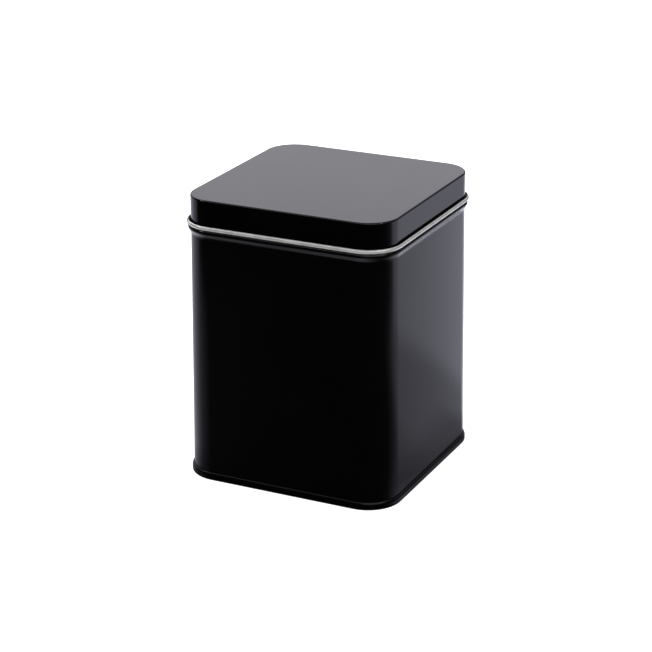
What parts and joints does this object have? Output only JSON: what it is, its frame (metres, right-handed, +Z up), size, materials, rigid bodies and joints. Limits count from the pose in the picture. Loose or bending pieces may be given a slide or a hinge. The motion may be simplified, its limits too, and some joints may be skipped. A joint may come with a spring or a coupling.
{
  "type": "storage tin",
  "caption": "Square slip-lid storage tin in rolled sheet, with a hemmed neck, stop bead, double-seamed recessed base and a curled-edge lid that lifts straight off.",
  "frame": {"origin": "centre of the tin's footprint, on the surface that it stands on", "axes": "+Z up through the lid, -Y out of the front face, +Y out of the face with the lock seam, +X to the right"},
  "size_m": [0.0788, 0.0788, 0.1008],
  "materials": {
    "wall_lacquer": "satin black lacquer outside, bare tinplate inside",
    "base_lacquer": "satin black lacquer outside, bare tinplate inside",
    "lid_lacquer": "gloss black lacquer outside, bare tinplate inside and on the curl"
  },
  "bodies": {
    "can": {"body_wall": "wall_lacquer", "base_panel": "base_lacquer"},
    "lid": {"lid": "lid_lacquer"}
  },
  "joints": [
    {"name": "lid_lift", "type": "slide", "parent": "can", "child": "lid", "axis": [0, 0, 1], "range_m": [0, 0.04]}
  ]
}
